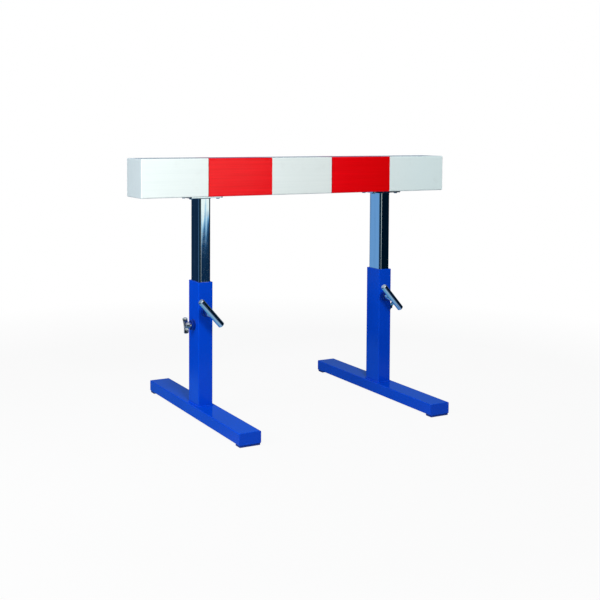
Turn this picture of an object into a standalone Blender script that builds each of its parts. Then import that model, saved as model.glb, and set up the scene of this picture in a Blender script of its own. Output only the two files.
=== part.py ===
"""Adjustable steeplechase barrier for training.

A square timber beam, painted in red and white blocks, stands on two telescopic posts. Each post
is a plated inner tube that slides in a painted sleeve, and each sleeve is welded to a foot that
lies fore and aft. A clamp with a crossbar handle presses on the front of the inner tube, and a
wing screw presses on its outer side.

X runs along the beam, the front is -Y and Z is up. The origin is on the ground, midway between
the posts. All sizes are in metres.
"""

import math

import bmesh
import bpy
from mathutils import Matrix, Vector

# Beam: rule height and depth, training length
BEAM_LENGTH = 1.200
BEAM_SIDE = 0.127
BEAM_EDGE_RADIUS = 0.004
BLOCK_COUNT = 5
BEAM_TOP_HEIGHT = 0.872
LOWEST_TOP_HEIGHT = 0.762

# Posts; the inset is from a beam's end to the middle of its post
POST_INSET = 0.238
SLEEVE_WIDTH = 0.052
SLEEVE_DEPTH = 0.080
SLEEVE_WALL = 0.004
SLEEVE_CORNER = 0.003
SLEEVE_TOP_HEIGHT = 0.460
SLIDE_CLEARANCE = 0.001
TUBE_WALL = 0.003
TUBE_CORNER = 0.0065
TUBE_FLOOR_CLEARANCE = 0.010
# The least rounding inside a tube, where its wall is thicker than its outer corner
INSIDE_CORNER = 0.001

# Feet
FOOT_LENGTH = 0.720
FOOT_WIDTH = 0.076
FOOT_HEIGHT = 0.038
FOOT_WALL = 0.003
FOOT_CORNER = 0.003
CAP_FLANGE = 0.003
CAP_EDGE = 0.0012
CAP_PLUG_LENGTH = 0.012
CAP_PLUG_WALL = 0.0025
PAD_THICKNESS = 0.006
PAD_LENGTH = 0.030
PAD_WIDTH = 0.071
PAD_CORNER = 0.002
PAD_END_INSET = 0.001
STEM_SPACING = 0.040
STEM_DIAMETER = 0.008
STEM_SIDE_CLEARANCE = 0.001
BARB_DIAMETER = 0.011
BARB_POINT_DIAMETER = 0.005
BARB_HEIGHT = 0.003

# Plates that carry the beam, and their screws
PLATE_LENGTH = 0.120
PLATE_DEPTH = 0.096
PLATE_THICKNESS = 0.005
PLATE_CORNER = 0.006
PLATE_SCREW_SPACING_X = 0.098
PLATE_SCREW_SPACING_Y = 0.060
SCREW_DIAMETER = 0.008
SCREW_LENGTH = 0.050
SCREW_HOLE_CLEARANCE = 0.0005
SCREW_HEAD_DIAMETER = 0.0135
SCREW_HEAD_HEIGHT = 0.0038
# The head's curve, as shares of its radius and of its height
SCREW_HEAD_CURVE = ((0.62, 1.0), (0.90, 0.70), (1.0, 0.35))
SOCKET_WIDTH = 0.005
SOCKET_DEPTH = 0.0022
HEX_SIDES = 6

# Clamp on the front of each sleeve; distances along it start at the sleeve's face
CLAMP_HEIGHT = 0.363
CLAMP_THREAD = 0.016
CLAMP_BOSS_DIAMETER = 0.034
CLAMP_BOSS_LENGTH = 0.012
CLAMP_HUB_DIAMETER = 0.026
CLAMP_HUB_SPACE = 0.0015
CLAMP_SPIGOT_DIAMETER = 0.012
CLAMP_SPIGOT_DEPTH = 0.016
HANDLE_STANDOFF = 0.043
HANDLE_DIAMETER = 0.022
HANDLE_LENGTH = 0.116
HANDLE_CHAMFER = 0.0025
HANDLE_TILT = math.radians(48.5)
SADDLE_DEPTH = 0.005

# Wing screw on the outer side of each sleeve; distances start at the sleeve's face
WING_HEIGHT = 0.313
WING_THREAD = 0.012
WING_BOSS_DIAMETER = 0.034
WING_BOSS_LENGTH = 0.011
WING_HUB_DIAMETER = 0.024
WING_HUB_TOP_DIAMETER = 0.016
WING_HUB_SPACE = 0.001
WING_HUB_END = 0.032
WING_START = 0.020
WING_END = 0.038
WING_SPAN = 0.054
WING_THICKNESS = 0.005
# One wing's outline, as shares of half the span and of the way from start to end
WING_OUTLINE = ((0, 0), (0.45, 0), (0.90, 0.06), (1.0, 0.50), (0.92, 1.0), (0.45, 0.94), (0, 0.89))
LEFT_WING_TURN = math.radians(15.0)
RIGHT_WING_TURN = math.radians(42.0)

# Pressure tips at the ends of both kinds of screw
TIP_DISC_THICKNESS = 0.0025
TIP_EDGE = 0.0005
TIP_STEM_LENGTH = 0.005
TIP_STEM_SHARE = 0.4
TIP_SIDE_CLEARANCE = 0.0005
SCREW_END_CHAMFER = 0.0007

# Fits: a seat is the joint line between touching pieces, a thread turns in its bore
SEAT_GAP = 0.0003
THREAD_CLEARANCE = 0.0002
BOSS_CHAMFER = 0.0015

# Facets
CORNER_STEPS = 4
EDGE_STEPS = 2
ROUND_STEPS = 24
SMALL_STEPS = 16
SMOOTH_ANGLE = math.radians(35.0)
MERGE_DISTANCE = 1e-6

# Heights and places that follow from the sizes above
POST_SPACING = BEAM_LENGTH - 2 * POST_INSET
FOOT_TOP = PAD_THICKNESS + FOOT_HEIGHT
BEAM_BOTTOM = BEAM_TOP_HEIGHT - BEAM_SIDE
PLATE_BOTTOM = BEAM_BOTTOM - PLATE_THICKNESS
TUBE_WIDTH = SLEEVE_WIDTH - 2 * (SLEEVE_WALL + SLIDE_CLEARANCE)
TUBE_DEPTH = SLEEVE_DEPTH - 2 * (SLEEVE_WALL + SLIDE_CLEARANCE)
TUBE_BOTTOM = FOOT_TOP + TUBE_FLOOR_CLEARANCE + BEAM_TOP_HEIGHT - LOWEST_TOP_HEIGHT
TUBE_TOP = PLATE_BOTTOM - SEAT_GAP
FOOT_TUBE_LENGTH = FOOT_LENGTH - 2 * CAP_FLANGE
SIDES = (("left", -1), ("right", 1))
ENDS = (("front", -1), ("rear", 1))


def clear_scene():
    """Removes whatever the scene already holds."""
    for thing in list(bpy.data.objects):
        bpy.data.objects.remove(thing, do_unlink=True)


def material(name, color, roughness, metallic=0.0):
    """A plain finish: base colour, roughness and metallic value."""
    finish = bpy.data.materials.new(name)
    finish.use_nodes = True
    shader = finish.node_tree.nodes["Principled BSDF"]
    shader.inputs["Base Color"].default_value = (*color, 1.0)
    shader.inputs["Roughness"].default_value = roughness
    shader.inputs["Metallic"].default_value = metallic
    return finish


def add_object(name, bm, finishes, location=(0, 0, 0), rotation=(0, 0, 0), parent=None):
    """Turns a bmesh into a named object, placed and shaded."""
    bmesh.ops.recalc_face_normals(bm, faces=bm.faces)
    mesh = bpy.data.meshes.new(name)
    bm.to_mesh(mesh)
    bm.free()
    mesh.shade_smooth()
    mesh.set_sharp_from_angle(angle=SMOOTH_ANGLE)
    thing = bpy.data.objects.new(name, mesh)
    for finish in finishes:
        mesh.materials.append(finish)
    thing.location = location
    thing.rotation_euler = rotation
    thing.parent = parent
    bpy.context.collection.objects.link(thing)
    return thing


def add_axis(name, location, rotation):
    """An empty on a screw's axis: its +Z points out of the sleeve."""
    axis = bpy.data.objects.new(name, None)
    axis.location = location
    axis.rotation_euler = rotation
    bpy.context.collection.objects.link(axis)
    return axis


def add_hidden(name, bm, location=(0, 0, 0), rotation=(0, 0, 0), parent=None):
    """A solid that only shapes another one, and is never drawn."""
    tool = add_object(name, bm, [], location, rotation, parent)
    tool.hide_render = True
    tool.display_type = "WIRE"
    return tool


def combine(target, tool, operation):
    """Cuts a hidden solid out of an object, or fuses it to the object."""
    boolean = target.modifiers.new(tool.name, "BOOLEAN")
    boolean.operation = operation
    boolean.solver = "EXACT"
    boolean.object = tool


def cut(target, name, bm, **placing):
    """Cuts a shape out of an object."""
    combine(target, add_hidden(name, bm, **placing), "DIFFERENCE")


def join(target, name, bm, **placing):
    """Fuses a shape to an object, so that both are one body."""
    combine(target, add_hidden(name, bm, **placing), "UNION")


def rounded_bar(width, depth, bottom, top, corner):
    """A bar along Z whose four long edges are rounded."""
    bm = bmesh.new()
    bmesh.ops.create_cube(bm, size=1.0)
    size = Matrix.Diagonal((width, depth, top - bottom, 1.0))
    place = Matrix.Translation((0, 0, (bottom + top) / 2))
    bm.transform(place @ size)
    upright = [e for e in bm.edges if abs(e.verts[0].co.z - e.verts[1].co.z) > (top - bottom) / 2]
    bmesh.ops.bevel(bm, geom=upright, offset=corner, segments=CORNER_STEPS, affect="EDGES", profile=0.5)
    return bm


def end_faces(bm):
    """The faces of a bar that look straight up or down."""
    bm.normal_update()
    return [f for f in bm.faces if abs(f.normal.z) > 0.99]


def outline(width, depth, corner):
    """The points round a rounded rectangle, anticlockwise, each corner in equal steps."""
    across = width / 2 - corner
    along = depth / 2 - corner
    points = []
    for number, (side_x, side_y) in enumerate(((1, 1), (-1, 1), (-1, -1), (1, -1))):
        for step in range(CORNER_STEPS + 1):
            angle = math.radians(90) * (number + step / CORNER_STEPS)
            points.append((side_x * across + corner * math.cos(angle),
                           side_y * along + corner * math.sin(angle)))
    return points


def rounded_tube(width, depth, bottom, top, corner, wall):
    """A tube along Z, open at both ends: four rings of points, joined outside, on top, inside and below."""
    inside_corner = max(corner - wall, INSIDE_CORNER)
    outer = outline(width, depth, corner)
    inner = outline(width - 2 * wall, depth - 2 * wall, inside_corner)
    bm = bmesh.new()
    rings = [[bm.verts.new((x, y, height)) for x, y in points]
             for points, height in ((outer, bottom), (outer, top), (inner, top), (inner, bottom))]
    for ring, following in zip(rings, rings[1:] + rings[:1]):
        for number in range(len(ring)):
            bm.faces.new((ring[number - 1], ring[number], following[number], following[number - 1]))
    return bm


def turned(profile, steps=ROUND_STEPS, ring=False):
    """Spins a profile of (radius, height) points about Z.

    The profile starts and ends on the axis, or closes on itself where the body is a ring.
    """
    bm = bmesh.new()
    points = [bm.verts.new((radius, 0.0, height)) for radius, height in profile]
    ends = points[1:] + points[:1] if ring else points[1:]
    edges = [bm.edges.new(pair) for pair in zip(points, ends)]
    bmesh.ops.spin(bm, geom=points + edges, cent=(0, 0, 0), axis=(0, 0, 1), angle=math.tau,
                   steps=steps, use_merge=True)
    bmesh.ops.remove_doubles(bm, verts=bm.verts, dist=MERGE_DISTANCE)
    return bm


def rod(diameter, bottom, top, steps=ROUND_STEPS):
    """A plain round rod along Z."""
    radius = diameter / 2
    return turned([(0, bottom), (radius, bottom), (radius, top), (0, top)], steps)


def boss(outer, bore, length):
    """A welded boss: a ring whose outer top edge is broken."""
    rim = outer / 2
    hole = bore / 2
    profile = [(hole, SEAT_GAP), (rim, SEAT_GAP), (rim, length - BOSS_CHAMFER), (rim - BOSS_CHAMFER, length),
               (hole, length)]
    return turned(profile, ring=True)


def screw_places():
    """Where the four beam screws stand about a post's axis, as x and y offsets."""
    half_x = PLATE_SCREW_SPACING_X / 2
    half_y = PLATE_SCREW_SPACING_Y / 2
    return [(-half_x, -half_y), (half_x, -half_y), (half_x, half_y), (-half_x, half_y)]


def make_beam(red, white):
    """One square timber with rounded edges; its blocks of colour are paint, not joints."""
    bm = rounded_bar(BEAM_SIDE, BEAM_SIDE, -BEAM_LENGTH / 2, BEAM_LENGTH / 2, BEAM_EDGE_RADIUS)
    block = BEAM_LENGTH / BLOCK_COUNT
    for line in range(1, BLOCK_COUNT):
        place = Vector((0, 0, -BEAM_LENGTH / 2 + line * block))
        everything = bm.verts[:] + bm.edges[:] + bm.faces[:]
        bmesh.ops.bisect_plane(bm, geom=everything, plane_co=place, plane_no=(0, 0, 1))
    for face in bm.faces:
        along = face.calc_center_median().z + BEAM_LENGTH / 2
        number = min(int(along / block), BLOCK_COUNT - 1)
        face.material_index = number % 2
    turn = Matrix.Rotation(math.radians(90), 4, "Y")
    bm.transform(turn)
    middle = BEAM_BOTTOM + BEAM_SIDE / 2
    beam = add_object("beam", bm, [white, red], (0, 0, middle))
    pilot = SCREW_DIAMETER + 2 * SEAT_GAP
    depth = SCREW_LENGTH - PLATE_THICKNESS + SEAT_GAP
    for side, sign in SIDES:
        for number, (x, y) in enumerate(screw_places(), 1):
            hole = rod(pilot, -SEAT_GAP, depth, SMALL_STEPS)
            place = (sign * POST_SPACING / 2 + x, y, BEAM_BOTTOM)
            cut(beam, f"cut_pilot_{side}_{number}", hole, location=place)


def make_top_plate(side, sign, steel):
    """The flat plate welded across an inner tube's top, drilled for four screws."""
    thickness = PLATE_THICKNESS - SEAT_GAP
    bm = rounded_bar(PLATE_LENGTH, PLATE_DEPTH, 0, thickness, PLATE_CORNER)
    center = sign * POST_SPACING / 2
    plate = add_object(f"{side}_top_plate", bm, [steel], (center, 0, PLATE_BOTTOM))
    for number, (x, y) in enumerate(screw_places(), 1):
        hole = rod(SCREW_DIAMETER + 2 * SCREW_HOLE_CLEARANCE, -thickness, 2 * thickness, SMALL_STEPS)
        cut(plate, f"cut_{side}_plate_{number}", hole, location=(center + x, y, PLATE_BOTTOM))


def make_plate_screws(side, sign, steel):
    """Four pan-head screws that come up through a plate into the beam."""
    head = SCREW_HEAD_DIAMETER / 2
    shank = SCREW_DIAMETER / 2
    seat = -SEAT_GAP
    under = seat - SCREW_HEAD_HEIGHT
    length = SCREW_LENGTH - SEAT_GAP
    curve = [(head * across, seat - SCREW_HEAD_HEIGHT * down) for across, down in SCREW_HEAD_CURVE]
    profile = [(0, under), *curve, (head, seat), (shank, seat), (shank, length - shank), (0, length)]
    for number, (x, y) in enumerate(screw_places(), 1):
        place = (sign * POST_SPACING / 2 + x, y, PLATE_BOTTOM)
        screw = add_object(f"{side}_plate_screw_{number}", turned(profile, SMALL_STEPS), [steel], place)
        socket = rod(SOCKET_WIDTH, under - SOCKET_DEPTH, under + SOCKET_DEPTH, HEX_SIDES)
        cut(screw, f"cut_{side}_socket_{number}", socket, location=place)


def make_inner_tube(side, sign, chrome):
    """The plated tube that slides in the sleeve."""
    bm = rounded_tube(TUBE_WIDTH, TUBE_DEPTH, TUBE_BOTTOM, TUBE_TOP, TUBE_CORNER, TUBE_WALL)
    add_object(f"{side}_inner_tube", bm, [chrome], (sign * POST_SPACING / 2, 0, 0))


def make_sleeve(side, sign, paint, clamp_axis, wing_axis):
    """The painted outer tube, bored for the clamp in front and the wing screw outside."""
    bottom = FOOT_TOP + SEAT_GAP
    bm = rounded_tube(SLEEVE_WIDTH, SLEEVE_DEPTH, bottom, SLEEVE_TOP_HEIGHT, SLEEVE_CORNER, SLEEVE_WALL)
    sleeve = add_object(f"{side}_sleeve", bm, [paint], (sign * POST_SPACING / 2, 0, 0))
    reach = SLEEVE_WALL + SLIDE_CLEARANCE
    for name, thread, axis in (("clamp", CLAMP_THREAD, clamp_axis), ("wing", WING_THREAD, wing_axis)):
        bore = rod(thread + 2 * THREAD_CLEARANCE, -reach, reach)
        cut(sleeve, f"cut_{side}_{name}_bore", bore, parent=axis)


def make_foot_tube(side, sign, paint):
    """The foot: a wide tube fore and aft, with holes below for the pads' stems."""
    bm = rounded_tube(FOOT_WIDTH, FOOT_HEIGHT, -FOOT_TUBE_LENGTH / 2, FOOT_TUBE_LENGTH / 2,
                      FOOT_CORNER, FOOT_WALL)
    bm.transform(Matrix.Rotation(math.radians(90), 4, "X"))
    center = sign * POST_SPACING / 2
    foot = add_object(f"{side}_foot_tube", bm, [paint], (center, 0, PAD_THICKNESS + FOOT_HEIGHT / 2))
    for end, way in ENDS:
        for number, x in enumerate((-STEM_SPACING / 2, STEM_SPACING / 2), 1):
            hole = rod(STEM_DIAMETER + 2 * SEAT_GAP, -FOOT_WALL, 2 * FOOT_WALL, SMALL_STEPS)
            place = (center + x, way * stem_center(), PAD_THICKNESS)
            cut(foot, f"cut_{side}_{end}_stem_{number}", hole, location=place)


def pad_center():
    """How far a pad's middle lies from the middle of the foot."""
    return FOOT_LENGTH / 2 - PAD_END_INSET - PAD_LENGTH / 2


def stem_center():
    """How far a pad's stems lie from the middle of the foot: their barbs clear the cap's plug."""
    return FOOT_TUBE_LENGTH / 2 - CAP_PLUG_LENGTH - BARB_DIAMETER / 2 - STEM_SIDE_CLEARANCE


def make_foot_pads(side, sign, rubber):
    """Two pads under a foot, each held by two barbed stems pushed up through the wall."""
    stem = STEM_DIAMETER / 2
    point = BARB_POINT_DIAMETER / 2
    top = PAD_THICKNESS - SEAT_GAP
    ledge = PAD_THICKNESS + FOOT_WALL + SEAT_GAP
    peak = ledge + BARB_HEIGHT
    profile = [(0, top / 2), (stem, top / 2), (stem, ledge), (BARB_DIAMETER / 2, ledge), (point, peak),
               (0, peak)]
    for end, way in ENDS:
        place = (sign * POST_SPACING / 2, way * pad_center(), 0)
        name = f"{side}_{end}_foot_pad"
        pad = add_object(name, rounded_bar(PAD_WIDTH, PAD_LENGTH, 0, top, PAD_CORNER), [rubber], place)
        for number, x in enumerate((-STEM_SPACING / 2, STEM_SPACING / 2), 1):
            spot = (place[0] + x, way * stem_center(), 0)
            join(pad, f"join_{name}_{number}", turned(profile, SMALL_STEPS), location=spot)


def make_end_caps(side, sign, plastic):
    """A cap at each end of a foot: a flange as wide as the tube, and a hollow plug inside it."""
    plug_width = FOOT_WIDTH - 2 * (FOOT_WALL + SEAT_GAP)
    plug_height = FOOT_HEIGHT - 2 * (FOOT_WALL + SEAT_GAP)
    plug_corner = max(FOOT_CORNER - FOOT_WALL - SEAT_GAP, CAP_EDGE)
    face = CAP_FLANGE
    for end, way in ENDS:
        bm = rounded_bar(FOOT_WIDTH, FOOT_HEIGHT, SEAT_GAP, face, FOOT_CORNER)
        outer = [f for f in end_faces(bm) if f.normal.z > 0]
        rim = [e for f in outer for e in f.edges]
        bmesh.ops.bevel(bm, geom=rim, offset=CAP_EDGE, segments=EDGE_STEPS, affect="EDGES", profile=0.5)
        axis = add_axis(f"{side}_{end}_cap_axis", (sign * POST_SPACING / 2, way * FOOT_TUBE_LENGTH / 2,
                        PAD_THICKNESS + FOOT_HEIGHT / 2), (math.radians(-90) * way, 0, 0))
        cap = add_object(f"{side}_{end}_end_cap", bm, [plastic], parent=axis)
        plug = rounded_tube(plug_width, plug_height, -CAP_PLUG_LENGTH, face / 2, plug_corner, CAP_PLUG_WALL)
        join(cap, f"join_{side}_{end}_plug", plug, parent=axis)


def make_tip(name, thread, brass, axis):
    """The pressure tip: a disc that bears on the inner tube, with a stem in the screw's end."""
    start = SEAT_GAP - SLEEVE_WALL - SLIDE_CLEARANCE
    shoulder = start + TIP_DISC_THICKNESS
    disc = thread / 2 - TIP_SIDE_CLEARANCE
    stem = thread / 2 * TIP_STEM_SHARE
    end = shoulder + TIP_STEM_LENGTH
    profile = [(0, start), (disc - TIP_EDGE, start), (disc, start + TIP_EDGE), (disc, shoulder),
               (stem, shoulder), (stem, end), (0, end)]
    add_object(name, turned(profile), [brass], parent=axis)


def screw_end(thread):
    """The start of a screw's profile: its socket for the tip's stem, then its end face."""
    shoulder = SEAT_GAP * 2 - SLEEVE_WALL - SLIDE_CLEARANCE + TIP_DISC_THICKNESS
    socket = thread / 2 * TIP_STEM_SHARE + THREAD_CLEARANCE
    return [(0, shoulder + TIP_STEM_LENGTH), (socket, shoulder + TIP_STEM_LENGTH), (socket, shoulder),
            (thread / 2 - SCREW_END_CHAMFER, shoulder), (thread / 2, shoulder + SCREW_END_CHAMFER)]


def make_clamp(side, axis, paint, chrome, brass):
    """The front clamp: boss, tip, screw with its hub, and the crossbar handle."""
    bore = CLAMP_THREAD + 2 * THREAD_CLEARANCE
    ring = boss(CLAMP_BOSS_DIAMETER, bore, CLAMP_BOSS_LENGTH)
    add_object(f"{side}_clamp_boss", ring, [paint], parent=axis)
    make_tip(f"{side}_clamp_tip", CLAMP_THREAD, brass, axis)

    thread = CLAMP_THREAD / 2
    hub = CLAMP_HUB_DIAMETER / 2
    spigot = CLAMP_SPIGOT_DIAMETER / 2
    bar_back = HANDLE_STANDOFF - HANDLE_DIAMETER / 2
    hub_start = CLAMP_BOSS_LENGTH + CLAMP_HUB_SPACE
    hub_end = bar_back + SADDLE_DEPTH
    spigot_end = bar_back + CLAMP_SPIGOT_DEPTH
    profile = screw_end(CLAMP_THREAD) + [
        (thread, hub_start), (hub - BOSS_CHAMFER, hub_start), (hub, hub_start + BOSS_CHAMFER),
        (hub, hub_end), (spigot, hub_end), (spigot, spigot_end), (0, spigot_end)]
    screw = add_object(f"{side}_clamp_screw", turned(profile), [chrome], parent=axis)
    # The bar sits in a saddle round the spigot, so the spigot itself stays whole
    bar_place = {"location": (0, 0, HANDLE_STANDOFF), "parent": axis,
                 "rotation": (0, math.radians(90), -HANDLE_TILT)}
    saddle = add_hidden(f"{side}_saddle", rod(HANDLE_DIAMETER + 2 * SEAT_GAP, -2 * hub, 2 * hub), **bar_place)
    core = rod(CLAMP_SPIGOT_DIAMETER, 0, HANDLE_STANDOFF + HANDLE_DIAMETER)
    cut(saddle, f"cut_{side}_saddle_core", core, parent=axis)
    combine(screw, saddle, "DIFFERENCE")

    half = HANDLE_LENGTH / 2
    side_radius = HANDLE_DIAMETER / 2
    end_radius = side_radius - HANDLE_CHAMFER
    side_end = half - HANDLE_CHAMFER
    bar_profile = [(0, -half), (end_radius, -half), (side_radius, -side_end), (side_radius, side_end),
                   (end_radius, half), (0, half)]
    bar = add_object(f"{side}_clamp_handle", turned(bar_profile), [chrome], **bar_place)
    hole = rod(CLAMP_SPIGOT_DIAMETER + 2 * SEAT_GAP, bar_back - SEAT_GAP, spigot_end + SEAT_GAP)
    cut(bar, f"cut_{side}_handle_hole", hole, parent=axis)


def wings():
    """The two wings of a wing screw as one flat plate across its axis."""
    half = WING_SPAN / 2
    reach = WING_END - WING_START
    right = [(half * across, WING_START + reach * out) for across, out in WING_OUTLINE]
    left = [(-across, out) for across, out in reversed(right)][1:-1]
    bm = bmesh.new()
    face = bm.faces.new([bm.verts.new((across, -WING_THICKNESS / 2, out)) for across, out in right + left])
    pushed = bmesh.ops.extrude_face_region(bm, geom=[face])
    moved = [v for v in pushed["geom"] if isinstance(v, bmesh.types.BMVert)]
    bmesh.ops.translate(bm, verts=moved, vec=(0, WING_THICKNESS, 0))
    return bm


def make_wing_screw(side, turn, axis, paint, chrome, brass):
    """The outer clamp: boss, tip, and a screw whose head has two wings."""
    ring = boss(WING_BOSS_DIAMETER, WING_THREAD + 2 * THREAD_CLEARANCE, WING_BOSS_LENGTH)
    add_object(f"{side}_wing_boss", ring, [paint], parent=axis)
    make_tip(f"{side}_wing_tip", WING_THREAD, brass, axis)

    thread = WING_THREAD / 2
    hub = WING_HUB_DIAMETER / 2
    hub_start = WING_BOSS_LENGTH + WING_HUB_SPACE
    profile = screw_end(WING_THREAD) + [
        (thread, hub_start), (hub, hub_start), (hub, WING_START), (WING_HUB_TOP_DIAMETER / 2, WING_HUB_END),
        (0, WING_HUB_END)]
    turning = {"rotation": (0, 0, turn), "parent": axis}
    screw = add_object(f"{side}_wing_screw", turned(profile), [chrome], **turning)
    join(screw, f"join_{side}_wings", wings(), **turning)


def main():
    clear_scene()
    red = material("red_lacquer", (0.80, 0.02, 0.04), 0.35)
    white = material("white_lacquer", (0.86, 0.90, 0.90), 0.35)
    blue = material("blue_paint", (0.01, 0.09, 0.62), 0.30)
    chrome = material("chrome", (0.72, 0.76, 0.80), 0.12, 1.0)
    plate_steel = material("plate_steel", (0.35, 0.40, 0.42), 0.35, 1.0)
    screw_steel = material("screw_steel", (0.45, 0.46, 0.48), 0.40, 1.0)
    brass = material("brass", (0.72, 0.53, 0.22), 0.35, 1.0)
    blue_plastic = material("blue_plastic", (0.01, 0.08, 0.50), 0.45)
    blue_rubber = material("blue_rubber", (0.01, 0.05, 0.30), 0.70)

    make_beam(red, white)
    for side, sign in SIDES:
        center = sign * POST_SPACING / 2
        clamp_axis = add_axis(f"{side}_clamp_axis", (center, -SLEEVE_DEPTH / 2, CLAMP_HEIGHT),
                              (math.radians(90), 0, 0))
        wing_axis = add_axis(f"{side}_wing_axis", (center + sign * SLEEVE_WIDTH / 2, 0, WING_HEIGHT),
                             (0, math.radians(90) * sign, 0))
        make_top_plate(side, sign, plate_steel)
        make_plate_screws(side, sign, screw_steel)
        make_inner_tube(side, sign, chrome)
        bpy.context.view_layer.update()
        make_sleeve(side, sign, blue, clamp_axis, wing_axis)
        make_foot_tube(side, sign, blue)
        make_end_caps(side, sign, blue_plastic)
        make_foot_pads(side, sign, blue_rubber)
        make_clamp(side, clamp_axis, blue, chrome, brass)
        turn = LEFT_WING_TURN if sign < 0 else RIGHT_WING_TURN
        make_wing_screw(side, turn, wing_axis, blue, chrome, brass)


main()
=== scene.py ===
# %% [markdown]
# # A steeplechase training barrier
#
# The real object is a square painted timber beam on two telescopic steel posts. Each post is a
# plated tube that slides in a painted sleeve, and each sleeve is welded to a foot.
#
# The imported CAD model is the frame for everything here: it says where each piece sits and how
# it moves. This lesson makes a finer mesh and a real finish for each of its pieces.

# %% Load the fixed frame
import math

import bpy
import numpy as np
from mathutils import Matrix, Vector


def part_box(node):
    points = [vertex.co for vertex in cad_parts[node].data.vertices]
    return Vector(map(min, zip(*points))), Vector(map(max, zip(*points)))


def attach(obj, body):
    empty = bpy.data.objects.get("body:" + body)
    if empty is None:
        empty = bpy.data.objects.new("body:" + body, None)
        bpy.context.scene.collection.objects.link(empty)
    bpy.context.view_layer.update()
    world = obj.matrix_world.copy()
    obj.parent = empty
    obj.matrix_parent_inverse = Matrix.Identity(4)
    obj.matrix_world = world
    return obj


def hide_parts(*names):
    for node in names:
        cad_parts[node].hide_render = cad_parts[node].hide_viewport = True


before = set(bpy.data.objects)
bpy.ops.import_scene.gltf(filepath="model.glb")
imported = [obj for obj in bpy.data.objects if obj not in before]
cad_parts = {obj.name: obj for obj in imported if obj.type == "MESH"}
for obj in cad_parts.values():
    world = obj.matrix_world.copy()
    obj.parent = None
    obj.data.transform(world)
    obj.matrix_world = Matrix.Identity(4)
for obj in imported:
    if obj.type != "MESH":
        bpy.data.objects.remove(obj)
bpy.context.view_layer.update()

# %% [markdown]
# ## The camera
#
# The photograph was taken from the front left, a little above the beam, with a short telephoto
# lens. Its optical centre lies left of its middle and above it, as in a picture cut out of a
# larger frame, so the camera is shifted. The values come from a least-squares fit to the
# barrier's edges.

# %% Stand the camera where the photograph was taken
PHOTO_SIDE = 600
FOCAL_LENGTH_PX = 974.13
OPTICAL_CENTRE_PX = (230.0, 181.54)
CAMERA_PLACE = (-1.73014, -2.94687, 0.95137)
HEADING, PITCH, ROLL = np.radians([26.6262, 2.7916, 0.1242])


def camera_axes(heading, pitch, roll):
    """The camera's right, up and backward directions, as columns.

    Forward is (sin heading, cos heading) in plan, tipped down by the pitch. Right is level, up is
    right cross forward, and the roll turns both about forward.
    """
    forward = np.array([np.sin(heading) * np.cos(pitch), np.cos(heading) * np.cos(pitch), -np.sin(pitch)])
    level = np.array([np.cos(heading), -np.sin(heading), 0.0])
    upright = np.cross(level, forward)
    right = np.cos(roll) * level + np.sin(roll) * upright
    up = -np.sin(roll) * level + np.cos(roll) * upright
    return np.column_stack([right, up, -forward])


camera_data = bpy.data.cameras.new("photo_camera")
camera_data.sensor_width = 36.0
camera_data.lens = FOCAL_LENGTH_PX / PHOTO_SIDE * camera_data.sensor_width
camera_data.shift_x = (PHOTO_SIDE / 2 - OPTICAL_CENTRE_PX[0]) / PHOTO_SIDE
camera_data.shift_y = (OPTICAL_CENTRE_PX[1] - PHOTO_SIDE / 2) / PHOTO_SIDE
camera = bpy.data.objects.new("photo_camera", camera_data)
placing = Matrix(camera_axes(HEADING, PITCH, ROLL).tolist()).to_4x4()
placing.translation = CAMERA_PLACE
camera.matrix_world = placing
bpy.context.scene.collection.objects.link(camera)
bpy.context.scene.camera = camera
bpy.context.scene.view_settings.view_transform = "Standard"
print("Lens:", round(camera_data.lens, 2), "mm, shift:",
      round(camera_data.shift_x, 4), round(camera_data.shift_y, 4))

# %% [markdown]
# ## Shader sums as plain expressions
#
# A finish mixes numbers that change over the surface: grain, mottling, the edge of a paint block.
# Wiring Math nodes by hand hides what the sum is. A small class that wraps a socket lets Python's
# own operators add the nodes, so that the sum reads as a sum.

# %% A socket that can be added, multiplied and compared
class Wire:
    """The output of a node. An expression on it adds the Math nodes that work it out."""

    def __init__(self, tree, socket):
        self.tree = tree
        self.socket = socket

    def sum_with(self, operation, first, second=0.0, clamp=False):
        """A Math node: the operation on the first and second value."""
        return add_node(self.tree, "ShaderNodeMath", {"operation": operation, "use_clamp": clamp},
                        {0: first, 1: second})

    def __add__(self, other):
        return self.sum_with("ADD", self, other)

    def __radd__(self, other):
        return self.sum_with("ADD", other, self)

    def __sub__(self, other):
        return self.sum_with("SUBTRACT", self, other)

    def __rsub__(self, other):
        return self.sum_with("SUBTRACT", other, self)

    def __mul__(self, other):
        return self.sum_with("MULTIPLY", self, other)

    def __rmul__(self, other):
        return self.sum_with("MULTIPLY", other, self)

    def __truediv__(self, other):
        return self.sum_with("DIVIDE", self, other)

    def __pow__(self, other):
        return self.sum_with("POWER", self, other)

    def __abs__(self):
        return self.sum_with("ABSOLUTE", self)

    def over(self, edge, width):
        """0 below the edge and 1 above it, with a straight step of that width."""
        return self.sum_with("ADD", (self - edge) / width, 0.5, clamp=True)


def add_node(tree, kind, settings=None, sockets=None, output=0):
    """Adds one node: its settings first, a ramp's stops among them, then its sockets' values or wires.

    It gives back one output, by number or name, and nothing for a node that has none.
    """
    made = tree.nodes.new(kind)
    for name, value in (settings or {}).items():
        if name != "stops":
            setattr(made, name, value)
            continue
        ramp = made.color_ramp
        while len(ramp.elements) < len(value):
            ramp.elements.new(1.0)
        for element, (place, color) in zip(ramp.elements, value):
            element.position = place
            element.color = (*color, 1.0)
    for key, value in (sockets or {}).items():
        if isinstance(value, Wire):
            tree.links.new(value.socket, made.inputs[key])
        else:
            made.inputs[key].default_value = value
    return Wire(tree, made.outputs[output]) if made.outputs else None


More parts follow.
